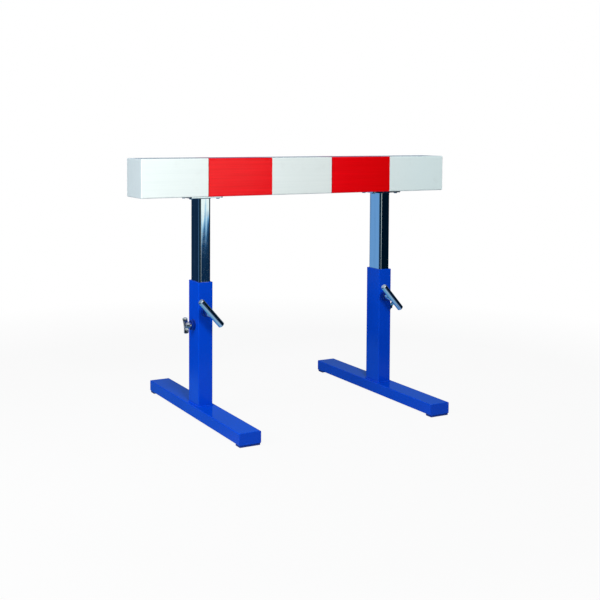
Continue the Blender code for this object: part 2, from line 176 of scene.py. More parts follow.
def parts_of(tree, vector):
    """The three coordinates of a vector, as numbers."""
    split = add_node(tree, "ShaderNodeSeparateXYZ", {}, {0: vector})
    return [Wire(tree, output) for output in split.socket.node.outputs]


def mix_colors(tree, share, first, second):
    """The first colour where the share is 0, the second where it is 1.

    The Mix node's two colours are its inputs 6 and 7, and the mixed one is its output 2.
    """
    sides = {6: first if isinstance(first, Wire) else (*first, 1.0),
             7: second if isinstance(second, Wire) else (*second, 1.0)}
    return add_node(tree, "ShaderNodeMix", {"data_type": "RGBA"}, {0: share, **sides}, output=2)


# %% A finish: one Principled surface and the patterns that feed it
class Finish:
    """A material, with short ways to its patterns. Constants go straight on the shader's sockets."""

    def __init__(self, name, **constants):
        self.material = bpy.data.materials.new(name)
        self.material.use_nodes = True
        self.tree = self.material.node_tree
        self.shader = self.tree.nodes["Principled BSDF"]
        for socket, value in constants.items():
            self.shader.inputs[socket.replace("_", " ")].default_value = value
        self.place = add_node(self.tree, "ShaderNodeTexCoord", output="Object")

    def stretched(self, x, y, z):
        """The object's own coordinates, drawn out by a factor along each axis."""
        return add_node(self.tree, "ShaderNodeMapping", {}, {"Vector": self.place, "Scale": (x, y, z)})

    def axes(self):
        """The three object coordinates as numbers, in metres."""
        return parts_of(self.tree, self.place)

    def noise(self, scale, detail=2.0, rough=0.5, along=None):
        """Soft noise between 0 and 1; the scale is in cells to the metre."""
        sockets = {"Vector": along or self.place, "Scale": scale, "Detail": detail, "Roughness": rough}
        return add_node(self.tree, "ShaderNodeTexNoise", {}, sockets)

    def cells(self, scale):
        """Distance to the nearest of many scattered points, for pits and nibs."""
        return add_node(self.tree, "ShaderNodeTexVoronoi", {}, {"Vector": self.place, "Scale": scale})

    def mix(self, share, first, second):
        """The first colour where the share is 0, the second where it is 1."""
        return mix_colors(self.tree, share, first, second)

    def feed(self, socket, wire):
        """Leads a pattern to one of the shader's sockets."""
        self.tree.links.new(wire.socket, self.shader.inputs[socket])

    def bump(self, height, depth):
        """Raises the surface by the height times the depth, in metres."""
        self.feed("Normal", add_node(self.tree, "ShaderNodeBump", {}, {"Height": height, "Distance": depth}))


# %% [markdown]
# ## Painted timber
#
# The beam is planed softwood under gloss paint. Two things show through the paint: the fine ridges
# of the grain, which run along the beam, and the paint's own step where red laps over white. The
# growth rings are one solid pattern, the distance from the tree's pith, so that the long faces
# show streaks and the sawn ends show rings, as on a real timber. The sawn ends are painted a darker
# blue-grey as well, which is painted shade. The red blocks end where they do in the photograph, and
# towards the beam's right end both paints shift in tone, which is painted light falloff.

# %% The beam's finish
RED_BLOCKS = ((-0.3633, -0.1240), (0.1133, 0.3607))
PAINT_EDGE = 0.0006
LAP = 0.0032
HAND_WANDER = 0.0009
PITH = (0.030, 0.690)
RING_SPACING = 0.0042
RING_WANDER = 0.030
END_GRAIN_FROM, END_GRAIN_STEP = 0.5988, 0.0008
FALLOFF_MIDDLE, FALLOFF_WIDTH = 0.30, 0.40
RELIEF_DEPTH = 0.00012
WHITE, WHITE_BRUSHED, WHITE_SHADED_AT_RIGHT = (0.83, 0.91, 0.895), (0.75, 0.84, 0.83), (0.82, 0.965, 0.975)
RED, RED_BRUSHED, RED_SHADED_AT_RIGHT = (0.97, 0.002, 0.007), (0.84, 0.0, 0.002), (0.74, 0.0, 0.0)
RED_IN_GRAIN, RED_LAPPED = (0.60, 0.001, 0.004), (0.30, 0.0, 0.006)
END_GRAIN_SHADE, SOIL = (0.38, 0.47, 0.53), (0.30, 0.30, 0.28)

timber = Finish("painted_timber_finish", Specular_IOR_Level=0.38)
x, y, z = timber.axes()
wander = timber.noise(3.0, 2.0, along=timber.stretched(0.6, 1.0, 1.0)) * RING_WANDER
from_pith = ((y - PITH[0]) ** 2.0 + (z - PITH[1]) ** 2.0) ** 0.5 + wander
ring_phase = from_pith.sum_with("FRACT", from_pith / RING_SPACING)
late_wood = abs(ring_phase - 0.5).over(0.36, 0.2)
fibres = timber.noise(1.0, 5.0, 0.6, along=timber.stretched(7.0, 900.0, 900.0))
brushing = timber.noise(1.0, 3.0, 0.5, along=timber.stretched(3.0, 160.0, 160.0))
along_beam = x + timber.noise(90.0, 2.0) * HAND_WANDER
starts = [along_beam.over(left, PAINT_EDGE) for left, _ in RED_BLOCKS]
lap_ends = [along_beam.over(left + LAP, PAINT_EDGE) for left, _ in RED_BLOCKS]
ends = [along_beam.over(right, PAINT_EDGE) for _, right in RED_BLOCKS]
red_block = starts[0] - ends[0] + starts[1] - ends[1]
lap_line = starts[0] - lap_ends[0] + starts[1] - lap_ends[1]
end_grain = abs(x).over(END_GRAIN_FROM, END_GRAIN_STEP)
# Painted light falloff: towards the beam's right end both paints shift to the tone they show in weaker light.
falloff_at_right = x.over(FALLOFF_MIDDLE, FALLOFF_WIDTH)
soil = timber.noise(26.0, 4.0, 0.6)

white_paint = timber.mix(brushing.over(0.62, 0.5) * 0.5, WHITE, WHITE_BRUSHED)
white_paint = timber.mix(falloff_at_right, white_paint, WHITE_SHADED_AT_RIGHT)
# Painted shade on the sawn ends: the white is darkened to a blue-grey there, a little more over the late wood
# rings, which are real grain.
white_paint = timber.mix(end_grain * (0.55 + 0.25 * late_wood), white_paint, END_GRAIN_SHADE)
red_paint = timber.mix(brushing.over(0.50, 0.5), RED, RED_BRUSHED)
red_paint = timber.mix(falloff_at_right, red_paint, RED_SHADED_AT_RIGHT)
red_paint = timber.mix(fibres.over(0.60, 0.3) * 0.4, red_paint, RED_IN_GRAIN)
red_paint = timber.mix(lap_line * 0.85, red_paint, RED_LAPPED)
paint = timber.mix(red_block, white_paint, red_paint)
paint = timber.mix(soil.over(0.74, 0.3) * 0.10 * (1.0 - red_block), paint, SOIL)
timber.feed("Base Color", paint)
timber.feed("Roughness", 0.07 + 0.08 * brushing + 0.25 * late_wood * end_grain)
timber.bump(fibres * 0.5 + late_wood * 0.12 + brushing * 0.30 + red_block * 0.9 + late_wood * end_grain,
            RELIEF_DEPTH)
print("Painted timber:", len(timber.tree.nodes), "nodes")

# %% [markdown]
# ## Stoved blue paint
#
# Sleeves, feet and bosses carry a thick gloss coat. Such a coat is never quite flat: it dries with
# a fine orange peel, a few dust nibs, and a tone that drifts with its thickness. The peel is a
# bump of a tenth of a millimetre or less, so it shows only in the gloss. Seen nearly edge on, the
# coat is painted darker, which is painted shade. The bosses are painted a far darker blue than the
# sleeves, which is painted shade as well. Caps and pads are blue plastic and rubber, with less gloss.

# %% The blue finishes
EDGE_SHADE_FROM, EDGE_SHADE_STEP = 0.85, 0.12
EDGE_SHADE_SHARE, EDGE_SHADE_TONE = 0.75, 0.25


def blue_coat(name, light, deep, roughness, peel_scale, peel_depth, gloss):
    """A gloss coat in two close tones, with orange peel, dust nibs and painted shade where it is seen edge
    on.
    """
    coat = Finish(name, Specular_IOR_Level=gloss)
    drift = coat.noise(7.0, 3.0)
    peel = coat.noise(peel_scale, 2.0)
    nibs = 1.0 - coat.cells(160.0).over(0.09, 0.06)
    wear = coat.noise(60.0, 4.0, 0.65).over(0.74, 0.10)
    tone = coat.mix(drift.over(0.5, 0.6), deep, light)
    tone = coat.mix(wear * 0.25, tone, tuple(0.7 * c + 0.012 for c in light))
    # Painted shade: where the coat is seen nearly edge on, its base colour is darkened towards a quarter of
    # the deep tone.
    turned_away = add_node(coat.tree, "ShaderNodeLayerWeight", {}, {"Blend": 0.5}, output="Facing")
    painted_edge_shade = turned_away.over(EDGE_SHADE_FROM, EDGE_SHADE_STEP) * EDGE_SHADE_SHARE
    coat.feed("Base Color", coat.mix(painted_edge_shade, tone, tuple(EDGE_SHADE_TONE * c for c in deep)))
    coat.feed("Roughness", roughness + 0.08 * drift + 0.15 * wear)
    coat.bump(peel + nibs * 0.5, peel_depth)
    return coat


blue_paint = blue_coat("stoved_blue_finish", (0.0006, 0.066, 0.66), (0.0004, 0.054, 0.57),
                       roughness=0.09, peel_scale=420.0, peel_depth=0.00005, gloss=0.18)
# Painted shade: the bosses and their weld beads get a blue far darker than the sleeves', for the shade they
# sit in.
shaded_boss_paint = blue_coat("boss_blue_painted_shade_finish", (0.0004, 0.026, 0.28), (0.0003, 0.018, 0.20),
                       roughness=0.08, peel_scale=420.0, peel_depth=0.00006, gloss=0.45)
cap_plastic = blue_coat("blue_cap_finish", (0.0005, 0.065, 0.64), (0.0004, 0.055, 0.56),
                        roughness=0.26, peel_scale=900.0, peel_depth=0.00005, gloss=0.15)
pad_rubber = blue_coat("blue_rubber_finish", (0.0020, 0.035, 0.27), (0.0015, 0.026, 0.20),
                       roughness=0.55, peel_scale=1200.0, peel_depth=0.0001, gloss=0.3)

# %% [markdown]
# ## Bright plating, steel and brass
#
# Plated tube mirrors its surroundings, and what tells it from a mirror is faint: draw lines along
# the tube, a low waviness of the flats, a fold down the face, and a haze of rubbing marks. The
# handles and clamp screws have the same plating on turned metal, whose marks run in no one
# direction. The wing screws are plated castings, wavier than the rest, and their plating is painted
# with near-black patches that stand in for dark reflections.

# %% The metal finishes
WAVES = 62.0
WAVE_STRETCH = 0.06
FOLD_LINE = 0.3645
FOLD_WIDTH = 0.004
ALONG_TUBE = (700.0, 700.0, 5.0)
ACROSS_PLATE = (60.0, 400.0, 60.0)
TURNED = (500.0, 500.0, 500.0)
EVEN = (300.0, 300.0, 300.0)


def bright_metal(name, color, dull, roughness, marks_drawn, wave_depth, line_depth, mottle=0.25, fold=0.0,
                 haze_scale=45.0):
    """A metal in two tones with a slow wave, fine marks drawn out by three factors, and a haze.

    A fold is a low ridge that the drawing die left along a tube's face: the bell curve of the
    distance from the fold's line.
    """
    metal = Finish(name, Metallic=1.0)
    marks = metal.noise(1.0, 3.0, 0.6, along=metal.stretched(*marks_drawn))
    along_tube = metal.stretched(1.0, 1.0, WAVE_STRETCH) if marks_drawn == ALONG_TUBE else None
    wave = metal.noise(WAVES, 1.0, along=along_tube)
    haze = metal.noise(haze_scale, 4.0, 0.6)
    metal.feed("Base Color", metal.mix(haze.over(0.55, 0.5) * mottle, color, dull))
    metal.feed("Roughness", roughness + 0.04 * marks + 0.05 * haze.over(0.62, 0.3))
    relief = marks * (line_depth / wave_depth) + wave
    if fold:
        from_fold = (abs(metal.axes()[0]) - FOLD_LINE) / FOLD_WIDTH
        ridge = metal.place.sum_with("POWER", math.e, 0.0 - from_fold ** 2.0)
        relief = relief + ridge * (fold / wave_depth)
    metal.bump(relief, wave_depth)
    return metal


chrome = bright_metal("drawn_chrome_finish", (0.90, 0.93, 0.94), (0.84, 0.88, 0.90), 0.02, ALONG_TUBE,
                      wave_depth=0.00036, line_depth=0.0000004, fold=0.00006)
turned_chrome = bright_metal("turned_chrome_finish", (0.82, 0.88, 0.93), (0.70, 0.77, 0.83), 0.06, TURNED,
                             wave_depth=0.00004, line_depth=0.000003)
# Painted reflection: the near-black second tone, mixed in over much of the haze, stands in for dark
# reflections on the wing screws.
cast_chrome_painted_dark = bright_metal("cast_chrome_finish", (0.74, 0.74, 0.77), (0.02, 0.03, 0.04), 0.05, EVEN,
                           wave_depth=0.00060, line_depth=0.000004, mottle=0.9, haze_scale=130.0)
plate_steel = bright_metal("plate_steel_finish", (0.95, 0.97, 0.97), (0.84, 0.88, 0.90), 0.05, ACROSS_PLATE,
                           wave_depth=0.00006, line_depth=0.00001, mottle=0.5)
bead_steel = bright_metal("weld_bead_finish", (0.16, 0.19, 0.21), (0.08, 0.10, 0.12), 0.30, EVEN,
                          wave_depth=0.00006, line_depth=0.00002, mottle=0.6)
zinc = bright_metal("zinc_screw_finish", (0.66, 0.72, 0.74), (0.50, 0.55, 0.57), 0.12, EVEN,
                    wave_depth=0.00005, line_depth=0.00002, mottle=0.6)
brass = bright_metal("brass_finish", (0.76, 0.56, 0.26), (0.60, 0.42, 0.18), 0.26, EVEN,
                     wave_depth=0.00005, line_depth=0.00002, mottle=0.6)

# %% [markdown]
# ## Surfaces as arrays
#
# Nearly every piece here is an outline carried along a line: a rounded rectangle for beam, tubes
# and plates, a circle for turned parts. Both kinds can be written the same way, as a function
# that takes a reach and gives the outline's points there. A profile is then a list of reaches and
# heights. The reach of a circle is its radius. The reach of a rounded rectangle is 0 on its
# surface and less than 0 inside it, so that a tube's inner wall is the same outline, further in.

# %% Outlines and profiles
SUPPORT = 0.0003
LEAST_CORNER = 0.001


def rounded_rectangle(width, depth, radius, steps=7):
    """A rounded rectangle's points at a reach, anticlockwise.

    Each corner is a quarter circle about its own centre. Its radius there is the nominal one plus
    the reach, and never less than a least one; a point is the centre plus that radius times the
    outward direction. The first and last point of a corner are doubled, and the double slides a
    little along the flat, so that flats stay flat when smooth.
    """
    quarter = np.concatenate([[0.0], np.linspace(0.0, np.pi / 2, steps + 1), [np.pi / 2]])
    slide = np.concatenate([[-SUPPORT], np.zeros(steps + 1), [SUPPORT]])
    angle = (quarter[None, :] + np.arange(4)[:, None] * np.pi / 2).ravel()
    out = np.column_stack([np.cos(angle), np.sin(angle)])
    along = np.column_stack([-np.sin(angle), np.cos(angle)]) * np.tile(slide, 4)[:, None]
    signs = np.repeat(np.array([[1, 1], [-1, 1], [-1, -1], [1, -1]], float), steps + 3, axis=0)

    def points_at(reach):
        """Corner's centre + its radius there x the outward direction."""
        reach = np.asarray(reach, float)[..., None]
        corner = np.maximum(radius + reach, LEAST_CORNER)
        return signs * (np.array([width, depth]) / 2 + reach - corner) + corner * out + along

    return points_at


def circle(steps=96):
    """A circle's points at a reach, which is its radius."""
    angle = np.arange(steps) * 2 * np.pi / steps
    out = np.column_stack([np.cos(angle), np.sin(angle)])
    return lambda reach: np.asarray(reach, float)[..., None] * out


def soften(points, radii, closed=False, steps=5):
    """Rounds the corners of a profile, all at once.

    A corner becomes the circular arc of its radius, written as a rational curve whose middle
    weight is the sine of half the corner's angle. Points just before and after each arc keep the
    straight parts straight when they are shaded smooth.
    """
    points = np.asarray(points, float)
    corner = points if closed else points[1:-1]
    before = np.roll(points, 1, axis=0) - points if closed else points[:-2] - corner
    after = np.roll(points, -1, axis=0) - points if closed else points[2:] - corner
    length_before = np.linalg.norm(before, axis=1)
    length_after = np.linalg.norm(after, axis=1)
    before = before / length_before[:, None]
    after = after / length_after[:, None]
    half = np.arccos(np.clip(np.sum(before * after, axis=1), -1.0, 1.0)) / 2
    tangent = np.broadcast_to(radii, half.shape) / np.tan(np.maximum(half, 0.05))
    tangent = np.minimum(tangent, 0.45 * np.minimum(length_before, length_after))
    share = np.linspace(0.0, 1.0, steps + 1)[None, :, None]
    middle = 2 * np.sin(half)[:, None, None] * share * (1 - share)
    start = (corner + before * tangent[:, None])[:, None]
    end = (corner + after * tangent[:, None])[:, None]
    weight = (1 - share) ** 2 + middle + share ** 2
    arc = ((1 - share) ** 2 * start + middle * corner[:, None] + share ** 2 * end) / weight
    room = np.minimum(length_before, length_after) - 2 * tangent
    spare = np.clip(0.3 * room, 0.0, SUPPORT)[:, None, None]
    rows = np.concatenate([start + before[:, None] * spare, arc, end + after[:, None] * spare], axis=1)
    rows = rows.reshape(-1, 2)
    if not closed:
        rows = np.concatenate([points[:1], rows, points[-1:]])
    apart = np.linalg.norm(rows - np.roll(rows, 1, axis=0), axis=1) > 1e-7
    return rows[apart]


def grid_faces(rows, columns, ring=False):
    """Quads from each point to the next column and row. Columns close round, and rows too in a ring."""
    row, column = np.meshgrid(np.arange(rows if ring else rows - 1), np.arange(columns), indexing="ij")
    next_row = (row + 1) % rows * columns
    next_column = (column + 1) % columns
    row = row * columns
    quads = [row + column, row + next_column, next_row + next_column, next_row + column]
    return np.stack(quads, axis=-1).reshape(-1, 4)


def capped(points, columns, tips):
    """Rows of points closed by a fan of triangles from the first row and one from the last."""
    count = len(points)
    around = np.arange(columns)
    onward = (around + 1) % columns
    last = count - columns
    first_fan = np.column_stack([onward, around, np.full(columns, count)])
    last_fan = np.column_stack([last + around, last + onward, np.full(columns, count + 1)])
    return np.concatenate([points, tips]), [grid_faces(count // columns, columns), first_fan, last_fan]


def carry(outline, reach, height, closed=False):
    """Carries an outline along Z: a row of points is the outline at the row's reach and height.

    Reach and height have a value for each row, or for each row and column. A closed profile runs
    up outside and down inside; an open one gets a flat fan of triangles at both ends.
    """
    reach = np.asarray(reach, float).reshape(len(reach), -1)
    height = np.asarray(height, float).reshape(len(height), -1)
    flat = outline(reach)
    rows, columns = flat.shape[:2]
    height = np.broadcast_to(height, (rows, columns))[..., None]
    points = np.concatenate([flat, height], axis=2).reshape(-1, 3)
    if closed:
        return points, [grid_faces(rows, columns, ring=True)]
    return capped(points, columns, [points[:columns].mean(0), points[-columns:].mean(0)])


def body_of_profile(outline, points, radii=0.0005, closed=False):
    """A solid (open profile) or a ring (closed profile) with its profile's corners rounded."""
    rows = soften(points, radii, closed)
    return carry(outline, rows[:, 0], rows[:, 1], closed)


# %% [markdown]
# ## Threads and weld beads
#
# A screw thread is a turned surface whose reach changes with height and angle together: a
# triangle wave of the height over the pitch, less the angle as a share of a turn. That makes a
# true helix, so a screw that turns and travels by its pitch slides through itself.
#
# A weld bead is a small round string laid along a seam. Its radius swells and sinks a little for
# each drop of metal, which is what makes a real bead look like laid coins.

# %% Helical and laid shapes
FLANK_SLOPE, CREST_FLAT = 3.2, 0.30
DROP_SWELL, UNEVEN_SWELL = 0.10, 0.05
UNEVEN_WAVES = (311.0, 97.0)


def thread_rows(columns, radius, pitch, depth, start, end, rows_a_turn=9):
    """Reach and height of a thread: radius less depth times a wave of height/pitch - angle/turn.

    The wave has flat crests and roots. It fades out over one pitch at both ends.
    """
    count = max(3, int(round((end - start) / pitch * rows_a_turn)) + 1)
    height = np.linspace(start, end, count)[:, None]
    turn = np.arange(columns)[None, :] / columns
    phase = (height / pitch - turn) % 1.0
    wave = np.clip(np.abs(phase - 0.5) * FLANK_SLOPE - CREST_FLAT, 0.0, 1.0)
    fade = np.clip(np.minimum(height - start, end - height) / pitch, 0.0, 1.0)
    reach = radius - depth * wave * fade
    return reach, np.broadcast_to(height, reach.shape)


def stack(columns, *parts):
    """Joins rows of profiles (two columns of numbers) and of threads (reach, height) into one skin."""
    reaches, heights = [], []
    for part in parts:
        reach, height = part if isinstance(part, tuple) else (part[:, :1], part[:, 1:])
        reaches.append(np.broadcast_to(reach, (len(reach), columns)))
        heights.append(np.broadcast_to(height, (len(height), columns)))
    return np.concatenate(reaches), np.concatenate(heights)


def weld_bead(outline, reach, height, radius, drop=0.0030, spacing=0.0006, around=12):
    """A bead laid round an outline: a circle about a path, swelling once a drop and a little unevenly.

    Point = path + radius x (cos angle x outward + sin angle x up). The path is the outline at
    the given reach, measured off at even distances, and outward leads to the next reach.
    """
    path, beyond = outline(np.array([[reach], [reach + SUPPORT]]))
    out = (beyond - path) / SUPPORT
    looped = np.concatenate([path, path[:1]])
    length = np.concatenate([[0.0], np.cumsum(np.linalg.norm(np.diff(looped, axis=0), axis=1))])
    drops = int(length[-1] / drop)
    count = int(length[-1] / spacing)
    place = np.arange(count) * length[-1] / count
    outward = np.concatenate([out, out[:1]])
    spot = np.column_stack([np.interp(place, length, looped[:, i]) for i in range(2)])
    aside = np.column_stack([np.interp(place, length, outward[:, i]) for i in range(2)])
    aside = aside / np.linalg.norm(aside, axis=1)[:, None]
    phase = place / length[-1] * drops * 2 * np.pi
    even = DROP_SWELL * np.cos(phase)
    uneven = UNEVEN_SWELL * np.sin(place * UNEVEN_WAVES[0]) * np.cos(place * UNEVEN_WAVES[1])
    swell = radius * (1 + even + uneven)
    angle = np.arange(around) * 2 * np.pi / around
    lean = swell[:, None] * np.cos(angle)[None]
    rise = swell[:, None] * np.sin(angle)[None]
    flat = spot[:, None] + aside[:, None] * lean[..., None]
    points = np.concatenate([flat, (height + rise)[..., None]], axis=2).reshape(-1, 3)
    return points, [grid_faces(count, around, ring=True)[:, [0, 3, 2, 1]]]


# %% [markdown]
# ## From arrays to pieces
#
# A piece is one mesh object whose place is in its points. It rides on a CAD body, stands for the
# CAD nodes that it replaces, and takes its finish. Holes are cut with an exact boolean, because
# a bore through a wall is easier to take away than to build round.

# %% Frames, meshes and pieces
UPRIGHT = np.eye(3)
FRONTWARD = np.array([[1, 0, 0], [0, 0, 1], [0, -1, 0]], float)
REARWARD = np.array([[-1, 0, 0], [0, 0, 1], [0, 1, 0]], float)
LEFTWARD = np.array([[0, 0, 1], [0, 1, 0], [-1, 0, 0]], float)
RIGHTWARD = np.array([[0, 0, -1], [0, 1, 0], [1, 0, 0]], float)
ALONG_BEAM = np.array([[0, 1, 0], [0, 0, 1], [1, 0, 0]], float)
SMOOTH_LIMIT = math.radians(32.0)


def stand(shell, origin, axes=UPRIGHT):
    """Moves a shell into the world: point = origin + x, y and z along the three rows of axes."""
    points, faces = shell
    return points @ axes + np.asarray(origin, float), faces


def volume(shell):
    """The signed volume inside a shell: a sum over triangles, above zero when faces look outward."""
    points, faces = shell
    halves = [f[:, :3] for f in faces] + [f[:, [0, 2, 3]] for f in faces if f.shape[1] == 4]
    a, b, c = (points[np.concatenate(halves)[:, i]] for i in range(3))
    return float(np.sum(a * np.cross(b, c)) / 6)


def mesh_of(name, shells):
    """One mesh from several shells of points and faces."""
    starts = np.cumsum([0] + [len(points) for points, _ in shells])
    points = np.concatenate([points for points, _ in shells]).astype(np.float32)
    groups = [faces + start for (_, sets), start in zip(shells, starts) for faces in sets]
    corners = np.concatenate([faces.ravel() for faces in groups]).astype(np.int32)
    sizes = np.concatenate([np.full(len(faces), faces.shape[1]) for faces in groups])
    begins = np.concatenate([[0], np.cumsum(sizes)[:-1]]).astype(np.int32)
    mesh = bpy.data.meshes.new(name)
    mesh.vertices.add(len(points))
    mesh.vertices.foreach_set("co", points.ravel())
    mesh.loops.add(len(corners))
    mesh.loops.foreach_set("vertex_index", corners)
    mesh.polygons.add(len(sizes))
    mesh.polygons.foreach_set("loop_start", begins)
    mesh.update(calc_edges=True)
    mesh.validate()
    return mesh


def finish_mesh(mesh, finish):
    """Shades a mesh smooth except over real edges, and gives it its finish."""
    mesh.shade_smooth()
    mesh.set_sharp_from_angle(angle=SMOOTH_LIMIT)
    mesh.materials.clear()
    mesh.materials.append(finish.material)


def combined(piece, shells, operation):
    """Cuts shells out of a piece, or fuses them to it, and keeps the result as its mesh."""
    tool = bpy.data.objects.new("tool", mesh_of("tool", shells))
    bpy.context.scene.collection.objects.link(tool)
    boolean = piece.modifiers.new("combine", "BOOLEAN")
    boolean.operation = operation
    boolean.solver = "EXACT"
    boolean.use_self = operation == "UNION"
    boolean.object = tool
    settled = piece.evaluated_get(bpy.context.evaluated_depsgraph_get())
    mesh = bpy.data.meshes.new_from_object(settled)
    piece.modifiers.clear()
    old = piece.data
    piece.data = mesh
    bpy.data.meshes.remove(old)
    bpy.data.objects.remove(tool)
    mesh.name = piece.name


def make_piece(name, shells, finish, body, stands_for, cuts=(), fused=()):
    """A finished piece: its shells, with what is fused on and less what is cut out, on its body."""
    inside_out = [i for i, shell in enumerate([*shells, *cuts, *fused]) if volume(shell) <= 0]
    if inside_out:
        raise ValueError(f"{name}: shells {inside_out} look inward")
    piece = bpy.data.objects.new(name, mesh_of(name, shells))
    bpy.context.scene.collection.objects.link(piece)
    for shell in fused:
        combined(piece, [shell], "UNION")
    for shell in cuts:
        combined(piece, [shell], "DIFFERENCE")
    finish_mesh(piece.data, finish)
    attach(piece, body)
    if stands_for:
        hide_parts(*stands_for)
    print(f"{name}: {len(piece.data.polygons)} faces, rides on {body}")
    return piece


def rod(radius, bottom, top, steps=48):
    """A plain rod, as a tool for boring."""
    return carry(circle(steps), [radius, radius], [bottom, top])


# %% [markdown]
# ## The beam
#
# One square timber, 127 mm on a side and 1200 mm long, its long edges eased to 4 mm and its sawn
# ends to 3 mm. The blocks of colour are paint, so they belong to the finish. Eight pilot holes
# are bored for the screws that hold it.

# %% Make the beam
EDGE_EASE = 0.004
END_EASE = 0.003
PILOT_RADIUS = 0.0043
PILOT_DEPTH = 0.0453
OVERCUT = 0.001
SCREW_OFFSETS = [(-0.049, -0.030), (0.049, -0.030), (0.049, 0.030), (-0.049, 0.030)]
SIDES = {"left": -1.0, "right": 1.0}


def middle_of(node):
    """The middle of a CAD node's box."""
    low, high = np.array(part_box(node))
    return (low + high) / 2


beam_low, beam_high = np.array(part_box("beam"))
beam_side = beam_high[2] - beam_low[2]
half_beam = beam_high[0]
beam_profile = [(-2 * END_EASE, -half_beam), (0, -half_beam), (0, half_beam), (-2 * END_EASE, half_beam)]
beam_shell = body_of_profile(rounded_rectangle(beam_side, beam_side, EDGE_EASE), beam_profile, END_EASE)
pilot = rod(PILOT_RADIUS, -OVERCUT, PILOT_DEPTH, 24)
pilots = [stand(pilot, (middle_of(f"{side}_top_plate")[0] + dx, dy, beam_low[2]))
          for side in SIDES for dx, dy in SCREW_OFFSETS]
make_piece("painted_beam", [stand(beam_shell, (0, 0, middle_of("beam")[2]), ALONG_BEAM)], timber,
           "upper_frame", ["beam"], cuts=pilots)

# %% [markdown]
# ## Top plates and their screws
#
# A steel plate is welded across each plated tube and carries the beam on four screws that come
# up from below. The screws have low domed heads with a hexagon socket, and a coarse wood thread.

# %% Make a top plate
PLATE_CORNER = 0.006
PLATE_EDGE = 0.0006
SCREW_CLEAR_RADIUS = 0.0045
TUBE_CORNER = 0.0065


def slab_profile(thickness):
    """Across the underside, up the edge and back over the top, as reach and height."""
    return [(-0.002, 0), (0, 0), (0, thickness), (-0.002, thickness)]


def make_top_plate(side):
    """The plate, its four holes, and the weld bead round the tube under it."""
    low, high = np.array(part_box(f"{side}_top_plate"))
    centre = (low + high) / 2
    width, depth, thickness = high - low
    outline = rounded_rectangle(width, depth, PLATE_CORNER)
    plate = body_of_profile(outline, slab_profile(thickness), PLATE_EDGE)
    hole = rod(SCREW_CLEAR_RADIUS, -OVERCUT, 2 * OVERCUT + thickness, 32)
    holes = [stand(hole, (centre[0] + dx, dy, low[2])) for dx, dy in SCREW_OFFSETS]
    make_piece(f"{side}_beam_plate", [stand(plate, (centre[0], 0, low[2]))], plate_steel, "upper_frame",
               [f"{side}_top_plate"], cuts=holes)
    tube_low, tube_high = np.array(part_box(f"{side}_inner_tube"))
    outline = rounded_rectangle(*(tube_high - tube_low)[:2], TUBE_CORNER)
    bead = weld_bead(outline, 0.0005, tube_high[2] - 0.0011, 0.0013, drop=0.0022, around=10)
    make_piece(f"{side}_plate_weld", [stand(bead, (centre[0], 0, 0))], bead_steel, "upper_frame",
               [])


for side in SIDES:
    make_top_plate(side)

# %% Make the eight beam screws
HEAD_RADIUS = 0.00675
SHANK_RADIUS = 0.004
HEAD_PROFILE = [(0.0005, -0.0041), (0.0040, -0.0041), (0.0061, -0.0029), (HEAD_RADIUS, -0.0015),
                (HEAD_RADIUS, -0.0003), (SHANK_RADIUS, -0.0003), (SHANK_RADIUS, 0.0070)]
POINT_PROFILE = [(SHANK_RADIUS - 0.0008, 0.0437), (0.0010, 0.0485), (0.0004, 0.0494)]


def beam_screw():
    """A pan head, a plain neck, a coarse helical thread and a point, in one turned skin."""
    columns = 64
    head = soften(HEAD_PROFILE, [0.0010, 0.0016, 0.0008, 0.0004, 0.0003])
    thread = thread_rows(columns, SHANK_RADIUS, 0.0036, 0.0010, 0.0072, 0.0435)
    return carry(circle(columns), *stack(columns, head, thread, np.array(POINT_PROFILE)))


hexagon_socket = carry(circle(6), [0.0029, 0.0029], [-0.0060, -0.0019])
for side in SIDES:
    centre = middle_of(f"{side}_top_plate")
    plate_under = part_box(f"{side}_top_plate")[0][2]
    for number, (dx, dy) in enumerate(SCREW_OFFSETS, 1):
        spot = (centre[0] + dx, dy, plate_under)
        make_piece(f"{side}_beam_screw_{number}", [stand(beam_screw(), spot)], zinc, "upper_frame",
                   [f"{side}_plate_screw_{number}"], cuts=[stand(hexagon_socket, spot)])

# %% [markdown]
# ## Posts
#
# A plated inner tube slides in a painted sleeve. Both are drawn tube, so their corners are
# rounded outside and, with a smaller radius, inside. The profile of a tube is a closed ring: up
# the outside, over the rim, down the inside. The sleeve is bored where its two screws come in.

# %% Make the posts
SLEEVE_CORNER = 0.003
SLEEVE_WALL = 0.004
TUBE_WALL = 0.003
CLAMP_BORE = 0.0082
WING_BORE = 0.0062
SEAT_GAP = 0.0003


def tube_profile(wall, bottom, top):
    """Up outside, across the rim, down inside and back, as reach and height."""
    return [(0, bottom), (0, top), (-wall, top), (-wall, bottom)]


